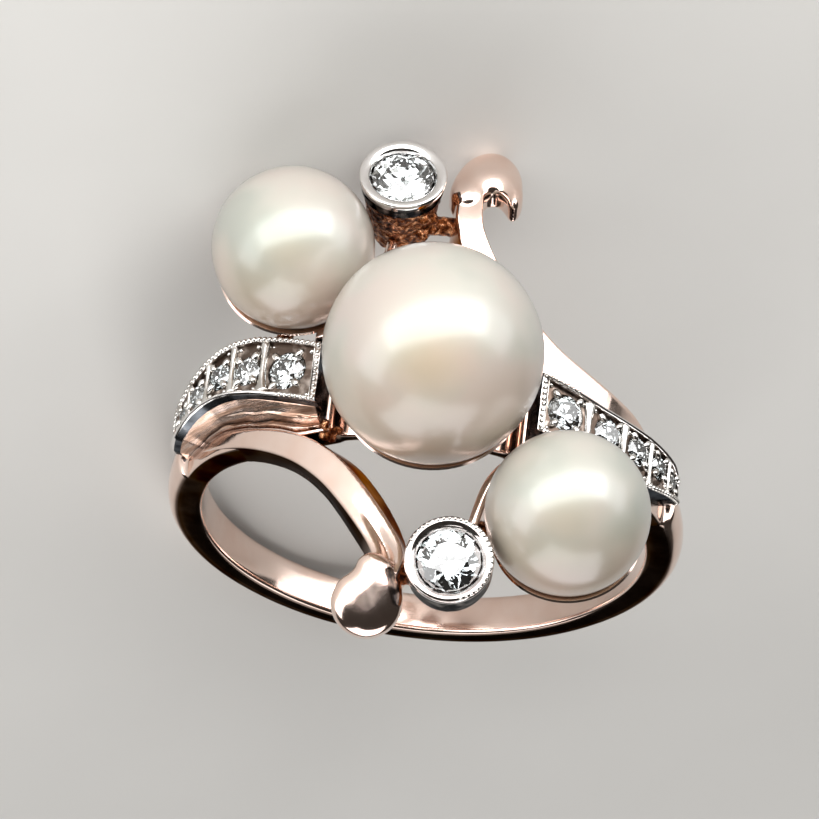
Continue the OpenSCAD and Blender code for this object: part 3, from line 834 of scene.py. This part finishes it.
# %% Ridges and grains between the stones
def ridge(angle, side, thin, near, far):
    """A waisted bar across the channel with a rounded back."""
    y, w, top = panel_at(angle, side)
    sections = []
    for i in range(13):
        u = -1 + i / 6
        t = (thin + ((near if u < 0 else far) - thin) * abs(u) ** 2.2) / 2
        rise = top - 0.03 - 0.05 * (1 - abs(u) ** 2)
        step = math.degrees(t / top)
        row = [(-1, 0.34), (-1, 0.16), (-0.82, 0.07), (-0.4, 0.01), (0, -0.015),
               (0.4, 0.01), (0.82, 0.07), (1, 0.16), (1, 0.34)]
        sections.append([place(angle + k * step, y + u * (w - 0.12), rise - d, side) for k, d in row])
    return draw_bar("ridge", sections)


for name, side in SIDES.items():
    bars, grains = [ridge(66.1, side, 0.09, 0.10, 0.10)], []
    for k, (a, b) in enumerate(zip(STONES[side], STONES[side][1:])):
        shrink = 1 - 0.16 * k
        bars.append(ridge((a[2] + b[3]) / 2, side, 0.30 * shrink, 0.72 * shrink, 0.56 * shrink))
    bars = call(join(*bars), "ridges_" + name)
    finish_with(bars, "SUBSURF", levels=1, render_levels=1)
    lay_down(bars, "white_metal", name + "_panel")
    for stone in STONES[side]:
        angle, r, low, high, y = stone
        girdle = girdle_height(stone, side)
        up = place(angle, 0, 1, side)
        step = math.degrees(r * 0.64 / girdle)
        for sa, end in ((-1, low), (1, high)):
            centre, w = panel_at(end, side)[:2]
            for sy in (-1, 1):
                p = place(angle + sa * step, y + sy * r * 0.80, girdle + 0.15, side)
                grains.append((p, up, 0.12 + 0.07 * r, 1.5, place(angle, y, girdle, side) - p))
                p = place(end - sa * 1.1, centre + sy * (w - 0.32), girdle + 0.12, side)
                grains.append((p, up, 0.07 + 0.03 * r, 1.2, place(angle, y, girdle, side) - p))
    string_of_beads("grains_" + name, grains, name + "_panel")

# %% [markdown]
# ## The beaded edges of the panels
# The outer edge is rolled on a slant, so its beads lie askew. The edge beside the arm is
# plain and bright, and only its end at the centre pearl is beaded, as is the wide end.

# %% The beads of the panels
for name, side in SIDES.items():
    spots = []
    angle = 19.0
    while angle < 67.3:
        y, w, top = panel_at(angle, side)
        for edge in (-1, 1):
            if edge < 0 and angle < 59:
                continue
            here = y + edge * (w - 0.085)
            p = place(angle, here, top - 0.04, side)
            way = place(angle + 1, here, top, side) - place(angle, here, top, side)
            if edge > 0:
                way = way.normalized() + Vector((0, 0.9 * side, 0))
            spots.append((p, place(angle, 0, 1, side), 0.095, 1.35 if edge > 0 else 1.0, way))
        angle += math.degrees(0.235 / top)
    y, w, top = panel_at(67, side)
    for k in range(10):
        p = place(66.95, y + (k / 9 * 2 - 1) * (w - 0.16), top - 0.04, side)
        spots.append((p, place(67, 0, 1, side), 0.10, 1.0, Vector((0, side, 0))))
    string_of_beads("beads_" + name, spots, name + "_panel")
print("pieces:", len(pieces), "faces in all:", sum(len(p.data.polygons) for p in pieces))

# %% [markdown]
# ## Materials
# Colours are picked as the eye sees them, as hex values, and turned to the linear values
# that the shader needs. One small function adds a node with its settings and its links.
# Object coordinates are in metres, so a pattern's scale is the number of its repeats in
# a millimetre, times MM.

# %% Colour and node helpers
def linear(hex_colour):
    out = []
    for i in (1, 3, 5):
        c = int(hex_colour[i:i + 2], 16) / 255
        out.append(c / 12.92 if c <= 0.04045 else ((c + 0.055) / 1.055) ** 2.4)
    return (*out, 1.0)


def add(tree, kind, links=None, **settings):
    """Adds a node. Settings are its properties or socket values, links are socket: source."""
    node = tree.nodes.new(kind)
    for key, value in settings.items():
        if hasattr(node, key):
            setattr(node, key, value)
        else:
            node.inputs[key.replace("_", " ")].default_value = value
    for key, source in (links or {}).items():
        tree.links.new(source, node.inputs[key])
    return node


def blank(name):
    print("material", name)
    mat = bpy.data.materials.new(name)
    mat.use_nodes = True
    mat.node_tree.nodes.clear()
    return mat, mat.node_tree


def ramp(tree, source, *stops):
    node = add(tree, "ShaderNodeValToRGB", {"Fac": source})
    node.color_ramp.elements[0].position, node.color_ramp.elements[0].color = stops[0]
    node.color_ramp.elements[1].position, node.color_ramp.elements[1].color = stops[-1]
    for at, colour in stops[1:-1]:
        node.color_ramp.elements.new(at).color = colour
    return node.outputs["Color"]


def blend(tree, amount, under, over):
    """The colour `over` laid on the colour `under` by an amount from 0 to 1."""
    node = add(tree, "ShaderNodeMix", data_type="RGBA")
    tree.links.new(amount, node.inputs[0])
    tree.links.new(under, node.inputs[6])
    tree.links.new(over, node.inputs[7])
    return node.outputs[2]


def grey(v):
    return (v, v, v, 1)


MM = 1000.0

# %% [markdown]
# ### Polished rose gold, 14 carat
# Rose gold is gold with copper. Polished by hand it is a mirror with a warm pink colour:
# what it reflects does most of the work, and fine wear makes it a little uneven. The
# slow wave of about a millimetre is left by the buff, and the fine noise is the haze.
# The sides of arms and shank are painted dark brown, golden brown on an arm's inner side.
# It isn't tarnish: it is a painted reflection of a black studio and of the gold that those
# sides would mirror. A metal turns bright where it is seen at a grazing angle, so the tint
# of its edges is darkened with the painted reflection.

# %% Polished rose gold
def polished_rose_gold():
    mat, t = blank("rose_gold_polished")
    co = add(t, "ShaderNodeTexCoord").outputs["Object"]
    film = add(t, "ShaderNodeAttribute", attribute_name="film").outputs["Fac"]
    wave = add(t, "ShaderNodeTexNoise", {"Vector": co}, Scale=0.9 * MM, Detail=2.0)
    haze = add(t, "ShaderNodeTexNoise", {"Vector": co}, Scale=4 * MM, Detail=3.0)
    gold = ramp(t, wave.outputs["Fac"], (0.35, linear("#F2D6C8")), (0.65, linear("#F7E0D4")))
    inside = add(t, "ShaderNodeMath", operation="MULTIPLY")
    t.links.new(film, inside.inputs[0])
    inside.inputs[1].default_value = -1.0
    # painted reflections on the sides: golden brown for the gold an arm's inner side mirrors, dark brown for a black
    # studio elsewhere
    painted_gold_reflection = ramp(t, wave.outputs["Fac"], (0.35, linear("#70401F")), (0.65, linear("#B27A48")))
    painted_studio_reflection = ramp(t, wave.outputs["Fac"], (0.35, linear("#40352E")), (0.65, linear("#54473F")))
    colour = blend(t, inside.outputs["Value"], blend(t, film, gold, painted_studio_reflection), painted_gold_reflection)
    edge = blend(t, inside.outputs["Value"], ramp(t, film, (0.0, grey(1.0)), (0.6, grey(0.32))), painted_gold_reflection)
    rough = ramp(t, haze.outputs["Fac"], (0.35, grey(0.115)), (0.7, grey(0.145)))
    bump = add(t, "ShaderNodeBump", {"Height": wave.outputs["Fac"]}, Strength=0.5, Distance=0.000006)
    fine = add(t, "ShaderNodeBump", {"Height": haze.outputs["Fac"], "Normal": bump.outputs["Normal"]},
               Strength=0.3, Distance=0.0000015)
    skin = add(t, "ShaderNodeBsdfPrincipled", {"Base Color": colour, "Roughness": rough,
                                               "Normal": fine.outputs["Normal"], "Specular Tint": edge}, Metallic=1.0)
    add(t, "ShaderNodeOutputMaterial", {"Surface": skin.outputs["BSDF"]})
    return mat

# %% [markdown]
# ### Rose gold left from the torch
# Where the polishing mop can't reach, solder flows in drops and the file leaves marks.
# The same gold is darker and redder there, rougher, and full of small dents.

# %% Rough rose gold
def rough_rose_gold():
    mat, t = blank("rose_gold_from_the_torch")
    co = add(t, "ShaderNodeTexCoord").outputs["Object"]
    dents = add(t, "ShaderNodeTexNoise", {"Vector": co}, Scale=4.5 * MM, Detail=5.0, Roughness=0.62)
    cells = add(t, "ShaderNodeTexVoronoi", {"Vector": co}, Scale=5 * MM)
    # the colour follows the noise of the dents: darkest in the dents, lightest on the high spots
    colour = ramp(t, dents.outputs["Fac"],
                  (0.38, linear("#27110A")), (0.51, linear("#7C4423")), (0.64, linear("#EBB084")))
    rough = ramp(t, dents.outputs["Fac"], (0.3, grey(0.42)), (0.7, grey(0.17)))
    bump = add(t, "ShaderNodeBump", {"Height": dents.outputs["Fac"]}, Strength=0.9, Distance=0.00012)
    drops = add(t, "ShaderNodeBump", {"Height": cells.outputs["Distance"], "Normal": bump.outputs["Normal"]},
                Strength=0.5, Distance=0.00006)
    skin = add(t, "ShaderNodeBsdfPrincipled",
               {"Base Color": colour, "Roughness": rough, "Normal": drops.outputs["Normal"]},
               Metallic=1.0)
    add(t, "ShaderNodeOutputMaterial", {"Surface": skin.outputs["BSDF"]})
    return mat

# %% [markdown]
# ### Rose gold with file marks
# Beside the panels the gold is filed and not polished. It is bright on the crests and dark
# brown in the hollows of the file marks, with scratches finer than a tenth of a millimetre.
# The groove beside the arm is painted dark as a shadow. Each strip carries its own
# coordinates, long way first, so the scratches run along it.

# %% Filed rose gold
def filed_rose_gold():
    mat, t = blank("rose_gold_filed")
    along = add(t, "ShaderNodeAttribute", attribute_name="along").outputs["Vector"]
    stains = add(t, "ShaderNodeTexNoise", {"Vector": along}, Scale=1.6, Detail=4.0, Roughness=0.6)
    scratches = add(t, "ShaderNodeTexNoise", {"Vector": along}, Scale=7.0, Detail=4.0)
    crest = ramp(t, stains.outputs["Fac"],
                 (0.34, linear("#94705C")), (0.48, linear("#DCB59E")), (0.62, linear("#F6DDD0")))
    # dark brown in the hollows of the file marks, and a painted shadow in the groove beside the arm
    hollow = add(t, "ShaderNodeAttribute", attribute_name="hollow").outputs["Fac"]
    hollow_and_shade_colour = ramp(t, scratches.outputs["Fac"], (0.35, linear("#2A1A12")), (0.65, linear("#6E4630")))
    colour = blend(t, hollow, crest, hollow_and_shade_colour)
    rough = ramp(t, stains.outputs["Fac"], (0.3, grey(0.36)), (0.7, grey(0.17)))
    bump = add(t, "ShaderNodeBump", {"Height": scratches.outputs["Fac"]}, Strength=0.5, Distance=0.00002)
    skin = add(t, "ShaderNodeBsdfPrincipled",
               {"Base Color": colour, "Roughness": rough, "Normal": bump.outputs["Normal"]},
               Metallic=1.0)
    add(t, "ShaderNodeOutputMaterial", {"Surface": skin.outputs["BSDF"]})
    return mat

# %% [markdown]
# ### White gold
# The collets and panels are white gold: a bright, slightly warm grey metal. Its beads,
# grains and ridges are burnished by the setter's tools, so they are bright all over with
# a faint cloudiness and marks finer than a tenth of a millimetre.

# %% White gold
def burnished_white_gold():
    mat, t = blank("white_gold_burnished")
    co = add(t, "ShaderNodeTexCoord").outputs["Object"]
    cloud = add(t, "ShaderNodeTexNoise", {"Vector": co}, Scale=1.6 * MM, Detail=3.0)
    marks = add(t, "ShaderNodeTexNoise", {"Vector": co}, Scale=11 * MM, Detail=3.0)
    colour = ramp(t, cloud.outputs["Fac"], (0.38, linear("#B9B4AE")), (0.58, linear("#EFEDEA")))
    rough = ramp(t, cloud.outputs["Fac"], (0.35, grey(0.2)), (0.65, grey(0.08)))
    bump = add(t, "ShaderNodeBump", {"Height": marks.outputs["Fac"]}, Strength=0.3, Distance=0.000004)
    skin = add(t, "ShaderNodeBsdfPrincipled",
               {"Base Color": colour, "Roughness": rough, "Normal": bump.outputs["Normal"]},
               Metallic=1.0)
    add(t, "ShaderNodeOutputMaterial", {"Surface": skin.outputs["BSDF"]})
    return mat

# %% [markdown]
# ### White gold with its film
# On the channels and collets each face carries a value for its polish: 0 in the pockets,
# a half on the outer walls, 1 on the rims. The colour is brown in the pockets, slate grey
# on the walls and bright on the rims, and a cloudy noise frays the borders. On the walls
# the slate grey is a painted reflection of a black studio, and the tint of their edges is
# darkened with it.

# %% White gold with a painted reflection
def white_gold_with_painted_reflection():
    mat, t = blank("white_gold_with_film")
    co = add(t, "ShaderNodeTexCoord").outputs["Object"]
    polish = add(t, "ShaderNodeAttribute", attribute_name="polish").outputs["Fac"]
    cloud = add(t, "ShaderNodeTexNoise", {"Vector": co}, Scale=2.2 * MM, Detail=4.0)
    frayed = add(t, "ShaderNodeMath", operation="MULTIPLY_ADD")
    t.links.new(cloud.outputs["Fac"], frayed.inputs[0])
    frayed.inputs[1].default_value = 0.5
    shifted = add(t, "ShaderNodeMath", operation="SUBTRACT")
    t.links.new(polish, shifted.inputs[0])
    shifted.inputs[1].default_value = 0.25
    t.links.new(shifted.outputs["Value"], frayed.inputs[2])
    level = frayed.outputs["Value"]
    # brown in the pockets, slate grey on the walls as a painted dark reflection, bright on the rims
    colour = ramp(t, level, (0.0, linear("#65574E")), (0.15, linear("#C4B8AF")), (0.34, linear("#46474A")),
                  (0.60, linear("#7C8086")), (0.76, linear("#CBC1BD")), (0.88, linear("#F0ECEA")))
    rough = ramp(t, level, (0.0, grey(0.34)), (0.45, grey(0.15)), (0.9, grey(0.09)))
    # the grazing tint is darkened on the walls, as part of the painted reflection
    edge = ramp(t, level, (0.1, grey(0.9)), (0.35, grey(0.15)), (0.55, grey(0.3)), (0.8, grey(1.0)))
    bump = add(t, "ShaderNodeBump", {"Height": cloud.outputs["Fac"]}, Strength=0.3, Distance=0.00001)
    skin = add(t, "ShaderNodeBsdfPrincipled", {"Base Color": colour, "Roughness": rough,
                                               "Normal": bump.outputs["Normal"], "Specular Tint": edge}, Metallic=1.0)
    add(t, "ShaderNodeOutputMaterial", {"Surface": skin.outputs["BSDF"]})
    return mat

# %% [markdown]
# ### Nacre
# A pearl is built of thin clear layers of aragonite. Light goes in, is scattered softly
# and comes back cream with a trace of green, and the top layers mirror the room in a
# blurred way with a faint change of hue. So it gets a soft body, a blurred gloss with a
# thin film, and tiny growth marks. The side over the gold cup and the middle of the front
# get a warm tint on the points: a painted reflection of the gold cup and of the room in front.

# %% Nacre
def nacre():
    mat, t = blank("nacre_white")
    co = add(t, "ShaderNodeTexCoord").outputs["Object"]
    warmth = add(t, "ShaderNodeAttribute", attribute_name="warmth").outputs["Fac"]
    zones = add(t, "ShaderNodeTexNoise", {"Vector": co}, Scale=0.28 * MM, Detail=2.0)
    spots = add(t, "ShaderNodeTexNoise", {"Vector": co}, Scale=9 * MM, Detail=3.0)
    cream = ramp(t, zones.outputs["Fac"],
                 (0.36, linear("#9B9C92")), (0.5, linear("#A8A49A")), (0.66, linear("#ADA299")))
    # the colour of the painted warm reflection
    warm_reflection_colour = ramp(t, zones.outputs["Fac"], (0.36, linear("#B5A189")), (0.66, linear("#BEA590")))
    colour = blend(t, warmth, cream, warm_reflection_colour)
    rough = ramp(t, spots.outputs["Fac"], (0.3, grey(0.32)), (0.75, grey(0.40)))
    bump = add(t, "ShaderNodeBump", {"Height": spots.outputs["Fac"]}, Strength=0.3, Distance=0.000002)
    skin = add(t, "ShaderNodeBsdfPrincipled",
               {"Base Color": colour, "Roughness": rough, "Normal": bump.outputs["Normal"]},
               IOR=1.65, Subsurface_Weight=0.12, Subsurface_Scale=0.0008, Thin_Film_Thickness=380.0, Thin_Film_IOR=1.7,
               Coat_Weight=0.85, Coat_Roughness=0.2, Coat_IOR=1.55)
    skin.inputs["Subsurface Radius"].default_value = (1.0, 0.85, 0.7)
    add(t, "ShaderNodeOutputMaterial", {"Surface": skin.outputs["BSDF"]})
    return mat

# %% [markdown]
# ### Diamond
# Diamond bends light far more than glass, with an IOR of 2.42. It is clear, and its looks
# come from the facets of the solid. A trace of bluish grey and a hardly visible
# unevenness stand for the hand-polished facets of an old cut.

# %% Diamond
def diamond():
    mat, t = blank("diamond_old_cut")
    co = add(t, "ShaderNodeTexCoord").outputs["Object"]
    tint = add(t, "ShaderNodeTexNoise", {"Vector": co}, Scale=0.6 * MM, Detail=1.0)
    colour = ramp(t, tint.outputs["Fac"], (0.4, linear("#CAD4D6")), (0.6, linear("#DCDFDF")))
    rough = ramp(t, tint.outputs["Fac"], (0.3, grey(0.0)), (0.7, grey(0.012)))
    wave = add(t, "ShaderNodeBump", {"Height": tint.outputs["Fac"]}, Strength=0.05, Distance=0.00002)
    skin = add(t, "ShaderNodeBsdfPrincipled",
               {"Base Color": colour, "Roughness": rough, "Normal": wave.outputs["Normal"]},
               IOR=2.42, Transmission_Weight=1.0)
    add(t, "ShaderNodeOutputMaterial", {"Surface": skin.outputs["BSDF"]})
    return mat

# %% [markdown]
# ### Dressing the pieces
# Each material is made once. A part of a piece's name tells which one it wears, and the
# solids of the stones, which stay as they are, get the diamond on their slots.

# %% Dressing the pieces
GOLD = polished_rose_gold()
ROUGH_GOLD = rough_rose_gold()
FILED_GOLD = filed_rose_gold()
BRIGHT = burnished_white_gold()
PAINTED_WHITE_GOLD = white_gold_with_painted_reflection()
NACRE = nacre()
DIAMOND = diamond()

LOOKS = {"shank": GOLD, "near_arm": GOLD, "far_arm": GOLD, "cup": GOLD, "rail": GOLD, "cone": ROUGH_GOLD,
         "knot": ROUGH_GOLD, "file_strip": FILED_GOLD, "pearl": NACRE, "beads": BRIGHT, "grains": BRIGHT,
         "ridges": BRIGHT, "bezel": PAINTED_WHITE_GOLD, "panel": PAINTED_WHITE_GOLD}
for p in pieces:
    look = next(m for key, m in LOOKS.items() if key in p.name)
    p.data.materials.clear()
    p.data.materials.append(look)
for name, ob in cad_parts.items():
    if "stone" in name or "diamond" in name:
        for slot in ob.material_slots:
            slot.material = DIAMOND

# %% [markdown]
# ## The table
# The ring lies on a plain pale table, a dull painted board with a hardly visible grain.
# It is large enough to fill the picture from any side.

# %% Table
clear()
bpy.ops.mesh.primitive_plane_add(size=1.6, location=(0, 0, 0))
table = call(bpy.context.object, "table")
mat, t = blank("table_pale")
co = add(t, "ShaderNodeTexCoord").outputs["Object"]
grain = add(t, "ShaderNodeTexNoise", {"Vector": co}, Scale=60.0, Detail=3.0)
colour = ramp(t, grain.outputs["Fac"], (0.3, linear("#C3C1BD")), (0.7, linear("#C9C7C3")))
skin = add(t, "ShaderNodeBsdfPrincipled", {"Base Color": colour}, Roughness=0.6)
add(t, "ShaderNodeOutputMaterial", {"Surface": skin.outputs["BSDF"]})
table.data.materials.append(mat)

# %% [markdown]
# ## The lights
# A long soft light low on the head's side gives each pearl its broad highlight. One at
# either side carries that highlight round the pearl and lights the flanks of the arms. A
# large, weaker one from behind gives the faint second patch low on the pearls and draws
# the edges. Polished metal needs dark parts in the room as much as bright ones, so the
# room itself stays dim.

# %% Lights
def soft_light(name, towards, distance, width, height, power):
    data = bpy.data.lights.new(name, "AREA")
    data.shape, data.size, data.size_y = "RECTANGLE", width, height
    data.energy, data.color = power, (1.0, 1.0, 1.0)
    ob = bpy.data.objects.new(name, data)
    bpy.context.scene.collection.objects.link(ob)
    aim = Vector((0, -0.002, 0.008))      # the middle of the head
    way = Vector(towards).normalized()
    ob.location = aim + way * distance
    ob.rotation_mode = "QUATERNION"
    ob.rotation_quaternion = way.to_track_quat("Z", "Y")


# where it stands as seen from the head, then its distance, width and height in metres and its power in watts
soft_light("light_head", (-0.05, -0.95, 0.26), 0.105, 0.25, 0.075, 0.30)
soft_light("light_back", (0.25, 0.64, 0.72), 0.42, 0.60, 0.46, 1.9)
soft_light("light_side", (-0.86, -0.48, 0.20), 0.16, 0.13, 0.10, 0.09)
soft_light("light_far_side", (0.90, -0.40, 0.16), 0.16, 0.13, 0.10, 0.10)

world = bpy.data.worlds.new("room")
bpy.context.scene.world = world
world.use_nodes = True
world.node_tree.nodes["Background"].inputs["Color"].default_value = linear("#948E88")
world.node_tree.nodes["Background"].inputs["Strength"].default_value = 0.14

# %% [markdown]
# ## The camera
# The camera looks at the head from the photo's angle, which is given for the upright
# ring and laid down with it. It stands far away with a long lens, as one does to take a
# small ring without distortion.

# %% Camera
AZ, EL, ROLL = (math.radians(v) for v in (5.0, 62.1, 1.4))
AWAY, ASIDE, ABOVE = 302.0, -0.62, 4.07         # mm from the hoop's centre, along the view and across it
PICTURE, PIXELS_PER_MM, SENSOR = 819, 25.53, 36.0
back = Vector((math.sin(AZ) * math.cos(EL), -math.cos(AZ) * math.cos(EL), math.sin(EL)))
right = Vector((math.cos(AZ), math.sin(AZ), 0))
up = back.cross(right)
right, up = (math.cos(ROLL) * right + math.sin(ROLL) * up, -math.sin(ROLL) * right + math.cos(ROLL) * up)
eye = AWAY * back + ASIDE * right + ABOVE * up
turned = LAID.to_3x3() @ Matrix((right, up, back)).transposed()
cam = bpy.data.cameras.new("camera")
cam.sensor_width, cam.lens = SENSOR, SENSOR * AWAY / (PICTURE / PIXELS_PER_MM)
cam.clip_start, cam.clip_end = 0.01, 5.0
camera = bpy.data.objects.new("camera", cam)
bpy.context.scene.collection.objects.link(camera)
camera.matrix_world = Matrix.Translation((LAID @ eye) * 0.001) @ turned.to_4x4()
bpy.context.scene.camera = camera
print("camera at", [round(v, 3) for v in camera.location], "lens", round(cam.lens, 1))
bpy.context.scene.view_settings.view_transform = "Standard"
